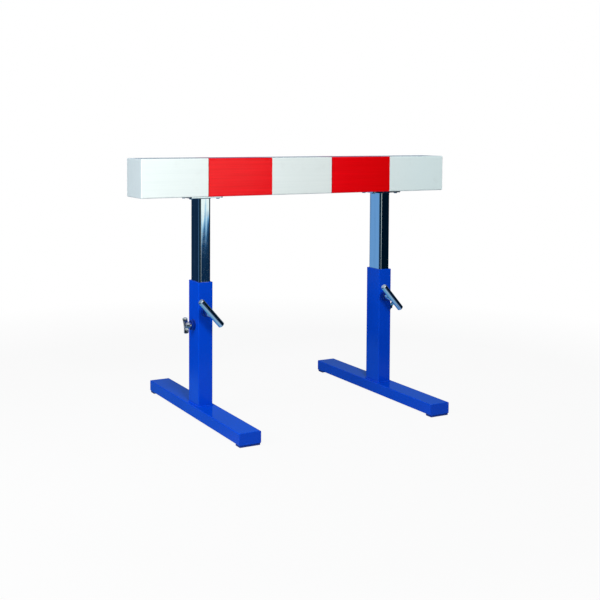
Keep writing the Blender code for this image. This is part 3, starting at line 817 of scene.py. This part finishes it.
def make_post(side):
    """The inner tube, and the sleeve with its two bores and the weld bead at its foot."""
    low, high = np.array(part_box(f"{side}_inner_tube"))
    centre = (low + high) / 2
    inner = body_of_profile(rounded_rectangle(*(high - low)[:2], TUBE_CORNER),
                            tube_profile(TUBE_WALL, low[2], high[2]), 0.0006, closed=True)
    make_piece(f"{side}_plated_tube", [stand(inner, (centre[0], 0, 0))], chrome, "upper_frame",
               [f"{side}_inner_tube"])

    low, high = np.array(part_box(f"{side}_sleeve"))
    outline = rounded_rectangle(*(high - low)[:2], SLEEVE_CORNER)
    outer = body_of_profile(outline, tube_profile(SLEEVE_WALL, low[2], high[2]),
                            [0.0003, 0.0014, 0.0010, 0.0003], closed=True)
    through = 1.5 * SLEEVE_WALL
    clamp_bore = stand(rod(CLAMP_BORE, -through, through), clamp_origin(side), FRONTWARD)
    wing_bore = stand(rod(WING_BORE, -through, through), wing_origin(side), wing_axes(side))
    make_piece(f"{side}_painted_sleeve", [stand(outer, (centre[0], 0, 0))], blue_paint, "base",
               [f"{side}_sleeve"], cuts=[clamp_bore, wing_bore])
    bead = weld_bead(outline, SEAT_GAP, low[2] + SEAT_GAP, 0.0022)
    make_piece(f"{side}_sleeve_weld", [stand(bead, (centre[0], 0, 0))], blue_paint, "base", [])


def clamp_origin(side):
    """Where the clamp's axis leaves the sleeve's front face."""
    low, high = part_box(f"{side}_sleeve")
    return np.array([(low[0] + high[0]) / 2, low[1], middle_of(f"{side}_clamp_boss")[2]])


def wing_origin(side):
    """Where the wing screw's axis leaves the sleeve's outer face."""
    low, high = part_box(f"{side}_sleeve")
    return np.array([high[0] if SIDES[side] > 0 else low[0], 0.0, middle_of(f"{side}_wing_boss")[2]])


def wing_axes(side):
    """The wing screw's axes: its Z leads outward from the sleeve."""
    return RIGHTWARD if SIDES[side] > 0 else LEFTWARD


for side in SIDES:
    make_post(side)

# %% [markdown]
# ## Feet
#
# Each foot is a wide tube lying front to back. A cap with a hollow plug closes each end, its
# flange as large as the tube, so that only a fine joint shows. Two rubber pads under the ends
# are held by barbed stems pushed up through the wall.

# %% Make the feet
FOOT_CORNER = 0.003
FOOT_WALL = 0.003
CAP_PROFILE = [(-0.0066, SEAT_GAP), (-0.0058, SEAT_GAP), (-0.0058, -0.0120), (-0.0033, -0.0120),
               (-0.0033, SEAT_GAP), (0, SEAT_GAP), (0, 0.0030), (-0.0040, 0.0030)]
CAP_RADII = [0.0002, 0.0005, 0.0009, 0.0002, 0.0003, 0.0013]
PAD_CORNER = 0.002
PAD_EDGE = 0.0008
PAD_TOP = 0.0057
STEM_X = 0.020
STEM_Y = 0.3385
STEM_HOLE, STEM_HOLE_TOP = 0.0043, 0.005
STEM_PROFILE = [(0.0036, 0.0028), (0.0040, 0.0028), (0.0040, 0.0093), (0.0055, 0.0093), (0.0025, 0.0123),
                (0.0004, 0.0123)]


def make_foot(side):
    """The foot tube with its stem holes, the two caps and the two pads."""
    low, high = np.array(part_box(f"{side}_foot_tube"))
    centre = (low + high) / 2
    width, length, height = high - low
    tube = body_of_profile(rounded_rectangle(width, height, FOOT_CORNER),
                           tube_profile(FOOT_WALL, -length / 2, length / 2), 0.0004, closed=True)
    stems = [(centre[0] + x, y) for x in (-STEM_X, STEM_X) for y in (-STEM_Y, STEM_Y)]
    stem_hole = rod(STEM_HOLE, low[2] - OVERCUT, low[2] + STEM_HOLE_TOP, 32)
    holes = [stand(stem_hole, (x, y, 0)) for x, y in stems]
    make_piece(f"{side}_foot", [stand(tube, centre, FRONTWARD)], blue_paint, "base",
               [f"{side}_foot_tube"], cuts=holes)
    cap = body_of_profile(rounded_rectangle(width, height, FOOT_CORNER), CAP_PROFILE, CAP_RADII)
    for end, way, axes in (("front", -1.0, FRONTWARD), ("rear", 1.0, REARWARD)):
        make_piece(f"{side}_{end}_cap", [stand(cap, (centre[0], way * length / 2, centre[2]), axes)],
                   cap_plastic, "base", [f"{side}_{end}_end_cap"])
        pad_low, pad_high = np.array(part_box(f"{side}_{end}_foot_pad"))
        sole_width, sole_length, _ = pad_high - pad_low
        sole_outline = rounded_rectangle(sole_width, sole_length, PAD_CORNER)
        sole = body_of_profile(sole_outline, slab_profile(PAD_TOP), PAD_EDGE)
        barb = body_of_profile(circle(40), STEM_PROFILE, 0.0003)
        barbs = [stand(barb, (x, y, 0)) for x, y in stems if y * way > 0]
        middle = (pad_low + pad_high) / 2
        make_piece(f"{side}_{end}_pad", [stand(sole, (middle[0], middle[1], 0))], pad_rubber, "base",
                   [f"{side}_{end}_foot_pad"], fused=barbs)


for side in SIDES:
    make_foot(side)

# %% [markdown]
# ## Bosses and pressure tips
#
# A threaded boss is welded to the sleeve for each screw. In front of the screw's end sits a small
# brass tip, so that the plating of the inner tube is pressed and not scored. Both are turned.

# %% Make the bosses and the tips
BOSS_RADIUS = 0.017
BOSS_CHAMFER = 0.0015
BORE_CHAMFER = 0.0006
CLAMP_BOSS_LENGTH, WING_BOSS_LENGTH = 0.012, 0.011
CLAMP_THREAD, WING_THREAD = 0.008, 0.006


def make_boss(side, kind, origin, axes, bore, length):
    """A ring with its outer edge broken, and the weld bead where it meets the sleeve."""
    profile = [(bore, SEAT_GAP), (BOSS_RADIUS, SEAT_GAP), (BOSS_RADIUS, length - BOSS_CHAMFER),
               (BOSS_RADIUS - BOSS_CHAMFER, length), (bore + BORE_CHAMFER, length),
               (bore, length - BORE_CHAMFER)]
    ring = body_of_profile(circle(), profile, [0.0002, 0.0002, 0.0006, 0.0006, 0.0002, 0.0002], closed=True)
    make_piece(f"{side}_{kind}_socket", [stand(ring, origin, axes)], shaded_boss_paint, "base",
               [f"{side}_{kind}_boss"])
    bead = weld_bead(circle(), BOSS_RADIUS + 0.0002, 0.0006, 0.0015, drop=0.0026)
    make_piece(f"{side}_{kind}_socket_weld", [stand(bead, origin, axes)], shaded_boss_paint, "base",
               [])


def make_tip(side, kind, origin, axes, thread):
    """A disc that bears on the tube, with a stem in the screw's end."""
    disc = thread - 0.0005
    stem = 0.4 * thread
    profile = [(disc - 0.0012, -0.0047), (disc, -0.0047), (disc, -0.0022), (stem, -0.0022), (stem, 0.0028),
               (0.0004, 0.0028)]
    tip = body_of_profile(circle(64), profile, [0.0006, 0.0003, 0.0004, 0.0005])
    make_piece(f"{side}_{kind}_brass_tip", [stand(tip, origin, axes)], brass, f"{side}_{kind}_tip_body",
               [f"{side}_{kind}_tip"])


for side in SIDES:
    make_boss(side, "clamp", clamp_origin(side), FRONTWARD, CLAMP_BORE, CLAMP_BOSS_LENGTH)
    make_boss(side, "wing", wing_origin(side), wing_axes(side), WING_BORE, WING_BOSS_LENGTH)
    make_tip(side, "clamp", clamp_origin(side), FRONTWARD, CLAMP_THREAD)
    make_tip(side, "wing", wing_origin(side), wing_axes(side), WING_THREAD)

# %% [markdown]
# ## Clamp screws with their crossbar handles
#
# The screw is one turned piece: thread, hub and spigot. The hub's end is hollowed to a saddle in
# which the round bar lies. A turned skin can have that saddle directly: the end's height above a
# point is the bar's lower surface there, the standoff less the root of the bar's radius squared
# less the distance from the bar's line squared. The bar is turned too, with chamfered ends.

# %% Make the clamp screws
BAR_STANDOFF = 0.043
BAR_RADIUS = 0.011
BAR_LENGTH = 0.116
BAR_TILT = math.radians(48.5)
HUB_RADIUS = 0.013
HUB_START = 0.0135
HUB_END = 0.037
SPIGOT_RADIUS = 0.006
SPIGOT_HOLE = (0.0317, 0.0483)
BAR_CHAMFER = 0.0025
CLAMP_PITCH = 0.002
ROWS_A_TURN = 10


def saddle_height(columns, reach):
    """Height of the hub's end at a reach and each column's angle: the bar's underside, or the flat end."""
    angle = np.arange(columns)[None, :] * 2 * np.pi / columns
    from_bar_line = reach * np.sin(angle + BAR_TILT)
    radius = BAR_RADIUS + SEAT_GAP
    underside = BAR_STANDOFF - np.sqrt(np.maximum(radius ** 2 - from_bar_line ** 2, 0.0))
    return np.minimum(underside, HUB_END)


def clamp_screw_shell():
    """Socketed end, helical thread, hub, saddle and spigot, as rows of one skin."""
    columns = 144
    end = soften([(0.0004, 0.0031), (0.0034, 0.0031), (0.0034, -0.0019), (0.0072, -0.0019),
                  (0.0079, -0.0012)], 0.0002)
    thread = thread_rows(columns, CLAMP_THREAD, CLAMP_PITCH, 0.0011, -0.0011, 0.0132, ROWS_A_TURN)
    hub = soften([(CLAMP_THREAD, HUB_START), (0.0114, HUB_START), (HUB_RADIUS, HUB_START + 0.0015),
                  (HUB_RADIUS, 0.0300)], [0.0004, 0.0006])
    rim = np.array([HUB_RADIUS, HUB_RADIUS - 0.0001, HUB_RADIUS - 0.0003, HUB_RADIUS - 0.0007])[:, None]
    drop = np.array([0.0007, 0.0003, 0.0001, 0.0])[:, None]
    floor = np.linspace(HUB_RADIUS - 0.0012, SPIGOT_RADIUS, 9)[:, None]
    reach = np.concatenate([rim, floor])
    height = saddle_height(columns, reach) - np.concatenate([drop, np.zeros_like(floor)])
    spigot = soften([(SPIGOT_RADIUS, 0.0375), (SPIGOT_RADIUS, 0.0480), (0.0008, 0.0480)], 0.0008)
    saddle = (np.broadcast_to(reach, height.shape), height)
    return carry(circle(columns), *stack(columns, end, thread, hub, saddle, spigot))


def bar_axes():
    """The bar's own axes in the world: outward from the sleeve, across, and along the bar."""
    along = np.array([math.cos(BAR_TILT), 0.0, -math.sin(BAR_TILT)])
    outward = np.array([0.0, -1.0, 0.0])
    return np.array([outward, np.cross(along, outward), along])


def make_clamp(side):
    """The screw, and the bar across it with the hole for the spigot."""
    origin = clamp_origin(side)
    body = f"{side}_clamp_screw_body"
    make_piece(f"{side}_clamp_spindle", [stand(clamp_screw_shell(), origin, FRONTWARD)], turned_chrome, body,
               [f"{side}_clamp_screw"])
    half = BAR_LENGTH / 2
    face = BAR_RADIUS - BAR_CHAMFER
    profile = [(0.0010, -half), (face, -half), (BAR_RADIUS, BAR_CHAMFER - half),
               (BAR_RADIUS, half - BAR_CHAMFER), (face, half), (0.0010, half)]
    bar = body_of_profile(circle(), profile, 0.0006)
    hole = stand(rod(SPIGOT_RADIUS + SEAT_GAP, *SPIGOT_HOLE), origin, FRONTWARD)
    middle = origin + np.array([0.0, -BAR_STANDOFF, 0.0])
    make_piece(f"{side}_crossbar", [stand(bar, middle, bar_axes())], turned_chrome, body,
               [f"{side}_clamp_handle"], cuts=[hole])


for side in SIDES:
    make_clamp(side)

# %% [markdown]
# ## Wing screws
#
# The wing screw is a casting: a round hub with two ears. An ear is an oval section carried
# outward along the span. Its height follows the ear's outline and its thickness swells towards
# the hub, as a casting's root does. Hub and ears are fused into one body.

# %% Make the wing screws
WING_TURNS = {"left": math.radians(15.0), "right": math.radians(42.0)}
HALF_SPAN = 0.027
EAR_LOW = 0.020
EAR_HIGH = 0.038
EAR_THICKNESS = 0.005
WING_PITCH = 0.00175


def ears(stations=81, around=48):
    """Both ears as one body: rounded sections along the span, closed at its tips.

    At each station the section's middle height, half height and half thickness are smooth
    functions of the share of the span: full almost to the tips, with a shallow dip outside the
    hub. The thickness falls from rim to middle over an ear's face, so that each face is a hollow.
    """
    share = np.sin(np.linspace(-np.pi / 2, np.pi / 2, stations))
    out = np.abs(share)
    taper = np.sqrt(np.clip(1 - out ** 16, 0.0, 1.0))
    top = EAR_HIGH - 0.0022 * np.clip(1 - (out / 0.8) ** 2, 0.0, 1.0)
    low = EAR_LOW + 0.0010 * out ** 4
    middle = (top + low) / 2
    tall = (top - low) / 2 * taper
    thick = EAR_THICKNESS / 2 * np.clip(taper * 1.15, 0.0, 1.0)
    hollow = 0.42 * np.clip(1 - ((out - 0.66) / 0.30) ** 2, 0.0, 1.0)
    angle = np.arange(around) * 2 * np.pi / around
    cos, sin = np.cos(angle), np.sin(angle)
    across = np.sign(cos) * np.abs(cos) ** 0.6
    upward = np.sign(sin) * np.abs(sin) ** 0.6
    inner = slice(1, -1)
    x = np.broadcast_to((share * HALF_SPAN)[inner, None], (stations - 2, around))
    y = thick[inner, None] * across[None] * (1 - hollow[inner, None] * (1 - upward[None] ** 2))
    z = middle[inner, None] + tall[inner, None] * upward[None]
    points = np.stack([x, y, z], axis=-1).reshape(-1, 3)
    return capped(points, around, [[-HALF_SPAN, 0.0, middle[0]], [HALF_SPAN, 0.0, middle[-1]]])


def wing_hub():
    """Socketed end, helical thread, and a hub that narrows outward, as rows of one skin."""
    columns = 96
    end = soften([(0.0004, 0.0031), (0.0026, 0.0031), (0.0026, -0.0019), (0.0053, -0.0019),
                  (0.0059, -0.0012)], 0.0002)
    thread = thread_rows(columns, WING_THREAD, WING_PITCH, 0.0009, -0.0011, 0.0117, ROWS_A_TURN)
    hub = soften([(WING_THREAD, 0.0120), (0.0120, 0.0120), (0.0120, 0.0195), (0.0080, 0.0290),
                  (0.0080, 0.0320), (0.0008, 0.0320)], [0.0008, 0.0020, 0.0030, 0.0020])
    return carry(circle(columns), *stack(columns, end, thread, hub))


def make_wing_screw(side):
    """The casting, turned about its own axis as it stands in the photograph."""
    cos, sin = math.cos(WING_TURNS[side]), math.sin(WING_TURNS[side])
    turned = np.array([[cos, sin, 0.0], [-sin, cos, 0.0], [0.0, 0.0, 1.0]])
    axes = turned @ wing_axes(side)
    origin = wing_origin(side)
    make_piece(f"{side}_wing_bolt", [stand(wing_hub(), origin, axes)], cast_chrome_painted_dark, f"{side}_wing_screw_body",
               [f"{side}_wing_screw"], fused=[stand(ears(), origin, axes)])


for side in SIDES:
    make_wing_screw(side)

# %% [markdown]
# ## The studio
#
# The photograph shows the barrier cut out on white, lit softly from the front left. A pale floor
# takes its shadow, and for the camera alone it also glows, so that it comes out white without
# more light on the object. Plated metal shows the room, so gloss sees another one: a bright
# slanted window ahead, dark walls beside it, bluer walls behind, and a floor that turns from pale
# blue near the barrier to deep blue behind it and almost black far off. The room's colours were
# adjusted until the plating came near the photograph's.

# %% The floor
FLOOR_RADIUS = 2.4
FLOOR_STEPS = 128
FLOOR_GREY = (0.50, 0.51, 0.52, 1.0)
BLACK_FROM, BLACK_STEP = 0.82, 0.24
BEHIND_FROM, BEHIND_STEP = -0.22, 0.20
NEAR_BLUE, BEHIND_BLUE, FAR_BLACK = (0.27, 0.42, 0.58), (0.11, 0.34, 0.56), (0.012, 0.030, 0.085)
GLOW_SHARE, GLOW_MORE_AT_RIM = 0.93, 0.07


def ray_kinds(tree):
    """1 for what the camera sees, and 1 for what gloss sees."""
    return [add_node(tree, "ShaderNodeLightPath", output=kind) for kind in ("Is Camera Ray", "Is Glossy Ray")]


def floor_finish():
    """Diffuse grey, with a white glow for the camera, and two blues and a near black for gloss.

    Towards the rim the camera sees the glow alone, so that the floor's edge doesn't show.
    """
    material = bpy.data.materials.new("studio_floor")
    material.use_nodes = True
    tree = material.node_tree
    tree.nodes.clear()
    camera_ray, gloss_ray = ray_kinds(tree)
    place = add_node(tree, "ShaderNodeTexCoord", output="Object")
    far = add_node(tree, "ShaderNodeVectorMath", {"operation": "LENGTH"}, {0: place}, output="Value")
    lit = add_node(tree, "ShaderNodeBsdfDiffuse", {}, {"Color": FLOOR_GREY})
    glow = add_node(tree, "ShaderNodeEmission", {}, {"Color": (1.0, 1.0, 1.0, 1.0), "Strength": 1.0})
    behind = parts_of(tree, place)[1].over(BEHIND_FROM, BEHIND_STEP)
    blue = mix_colors(tree, behind, NEAR_BLUE, BEHIND_BLUE)
    blue = mix_colors(tree, far.over(BLACK_FROM, BLACK_STEP), blue, FAR_BLACK)
    blue = add_node(tree, "ShaderNodeEmission", {}, {"Color": blue, "Strength": 1.0})
    near_edge = far.over(FLOOR_RADIUS * 0.75, FLOOR_RADIUS * 0.4)
    seen = camera_ray * (GLOW_SHARE + GLOW_MORE_AT_RIM * near_edge)
    first = add_node(tree, "ShaderNodeMixShader", {}, {0: seen, 1: lit, 2: glow})
    both = add_node(tree, "ShaderNodeMixShader", {}, {0: gloss_ray, 1: first, 2: blue})
    add_node(tree, "ShaderNodeOutputMaterial", {}, {"Surface": both})
    return material


rim = np.arange(FLOOR_STEPS)
disc_points = np.column_stack([circle(FLOOR_STEPS)(FLOOR_RADIUS), np.zeros(FLOOR_STEPS)])
floor_shell = (np.concatenate([disc_points, [[0.0, 0.0, 0.0]]]),
               [np.column_stack([rim, (rim + 1) % FLOOR_STEPS, np.full(FLOOR_STEPS, FLOOR_STEPS)])])
floor = bpy.data.objects.new("studio_floor", mesh_of("studio_floor", [floor_shell]))
floor.data.materials.append(floor_finish())
bpy.context.scene.collection.objects.link(floor)

# %% The room, as light and as gloss sees it
SOFT_LIGHT = (0.27, 0.275, 0.28)
# Headings in degrees from the front: -90 is the left, 90 the right and 180 behind
WINDOW_LEFT, WINDOW_RIGHT = 13.0, 29.5
WINDOW_SLANT_ABOUT, WINDOW_SLANT = 25.0, 3.4
WINDOW_TOP, WINDOW_TOP_STEP = 0.20, 0.06
DARK_FROM, DARK_TO = 31, 150
UPPER_FROM, UPPER_STEP = 0.26, 0.20
CEILING_FROM, CEILING_STEP = 0.66, 0.24
CEILING = (0.95, 0.98, 1.0)
# The walls up to about 15 degrees above level, then the room above them
ROOM_BY_HEADING = [
    (-180, (0.14, 0.22, 0.34)), (-164, (0.050, 0.095, 0.175)), (-157, (0.004, 0.018, 0.045)),
    (-152, (0.010, 0.032, 0.080)), (-146, (0.14, 0.33, 0.64)), (-140, (0.14, 0.33, 0.64)),
    (-130, (0.016, 0.040, 0.070)), (-40, (0.004, 0.018, 0.030)), (8, (0.006, 0.022, 0.040)),
    (31, (0.0, 0.006, 0.015)), (100, (0.0, 0.006, 0.015)),
    (140, (0.15, 0.23, 0.35)), (176, (0.15, 0.23, 0.35))]
UPPER_ROOM = [
    (-180, (0.20, 0.30, 0.45)), (-120, (0.26, 0.38, 0.55)), (-60, (0.50, 0.62, 0.74)),
    (0, (0.50, 0.62, 0.74)), (31, (0.0, 0.006, 0.015)), (100, (0.0, 0.006, 0.015)),
    (140, (0.07, 0.30, 0.62)), (176, (0.12, 0.33, 0.62))]
# The window, from below the eye's level: dark floor, then blue, then white
WINDOW_BY_HEIGHT = [
    (-0.276, (0.004, 0.022, 0.060)), (-0.242, (0.008, 0.034, 0.085)), (-0.211, (0.020, 0.090, 0.22)),
    (-0.197, (0.075, 0.23, 0.42)), (-0.185, (0.19, 0.44, 0.72)), (-0.174, (0.36, 0.66, 0.85)),
    (-0.163, (0.74, 0.92, 0.94)), (-0.152, (0.88, 1.0, 0.98)), (0.10, (0.88, 1.0, 0.98))]


def on_ramp(degrees):
    """A heading as a place on a ramp: the front at 0.5, and a whole turn along the ramp."""
    return 0.5 + degrees / 360


def ramp(tree, factor, stops):
    """A colour that changes along the stops."""
    return add_node(tree, "ShaderNodeValToRGB", {"stops": stops}, {0: factor})


def build_world():
    """Soft white light for diffuse rays, white for the camera, and the drawn room for gloss."""
    world = bpy.data.worlds.new("studio_world")
    bpy.context.scene.world = world
    world.use_nodes = True
    tree = world.node_tree
    tree.nodes.clear()
    east, north, up = parts_of(tree, add_node(tree, "ShaderNodeTexCoord", output="Generated"))
    heading = east.sum_with("ARCTAN2", east, 0.0 - north) / (2 * math.pi) + 0.5
    walls = ramp(tree, heading, [(on_ramp(place), color) for place, color in ROOM_BY_HEADING])
    upper = ramp(tree, heading, [(on_ramp(place), color) for place, color in UPPER_ROOM])
    slant = (heading - on_ramp(WINDOW_SLANT_ABOUT)) * WINDOW_SLANT
    window_stops = [(0.5 + height, color) for height, color in WINDOW_BY_HEIGHT]
    window = ramp(tree, (up - slant) * 2.0 + 0.5, window_stops)
    right_of = 1.0 - heading.over(on_ramp(WINDOW_RIGHT), 0.006)
    in_window = heading.over(on_ramp(WINDOW_LEFT), 0.010) * right_of
    in_window = in_window * (1.0 - up.over(WINDOW_TOP, WINDOW_TOP_STEP))
    room = mix_colors(tree, up.over(UPPER_FROM, UPPER_STEP), walls, upper)
    room = mix_colors(tree, in_window, room, window)
    dark_side = heading.over(on_ramp(DARK_FROM), 0.01) * (1.0 - heading.over(on_ramp(DARK_TO), 0.10))
    room = mix_colors(tree, up.over(CEILING_FROM, CEILING_STEP) * (1.0 - dark_side), room, CEILING)
    camera_ray, gloss_ray = ray_kinds(tree)
    color = mix_colors(tree, gloss_ray, SOFT_LIGHT, room)
    color = mix_colors(tree, camera_ray, color, (1.0, 1.0, 1.0))
    background = add_node(tree, "ShaderNodeBackground", {}, {"Color": color, "Strength": 1.0})
    add_node(tree, "ShaderNodeOutputWorld", {}, {"Surface": background})
    print("Studio world:", len(tree.nodes), "nodes")


build_world()

# %% [markdown]
# ## Lamps
#
# A key lamp stands in front and above, near enough that the light falls off along the beam as in
# the photograph, and a weaker lamp lights the left faces. Both are kept out of the gloss, where
# the room above stands for them.

# %% Hang the lamps
WARM_WHITE, WHITE_LIGHT = (1.0, 1.0, 0.99), (1.0, 1.0, 1.0)


def hang_lamp(name, place, target, side, watts, color):
    """A square area lamp that looks at a target: its -Z points from its place to the target."""
    data = bpy.data.lights.new(name, "AREA")
    data.shape = "SQUARE"
    data.size = side
    data.energy = watts
    data.color = color
    lamp = bpy.data.objects.new(name, data)
    back = np.array(place, float) - np.array(target, float)
    back /= np.linalg.norm(back)
    right = np.cross([0.0, 0.0, 1.0], back)
    right /= np.linalg.norm(right)
    axes = Matrix(np.column_stack([right, np.cross(back, right), back]).tolist()).to_4x4()
    axes.translation = place
    lamp.matrix_world = axes
    lamp.visible_glossy = False
    bpy.context.scene.collection.objects.link(lamp)


hang_lamp("key_lamp", (-0.75, -2.42, 2.85), (0.0, 0.0, 0.5), side=0.65, watts=64.0, color=WARM_WHITE)
hang_lamp("side_lamp", (-1.75, -0.45, 1.0), (-0.2, 0.0, 0.4), side=1.0, watts=18.5, color=WHITE_LIGHT)
print("Lamps:", [light.name for light in bpy.data.lights])
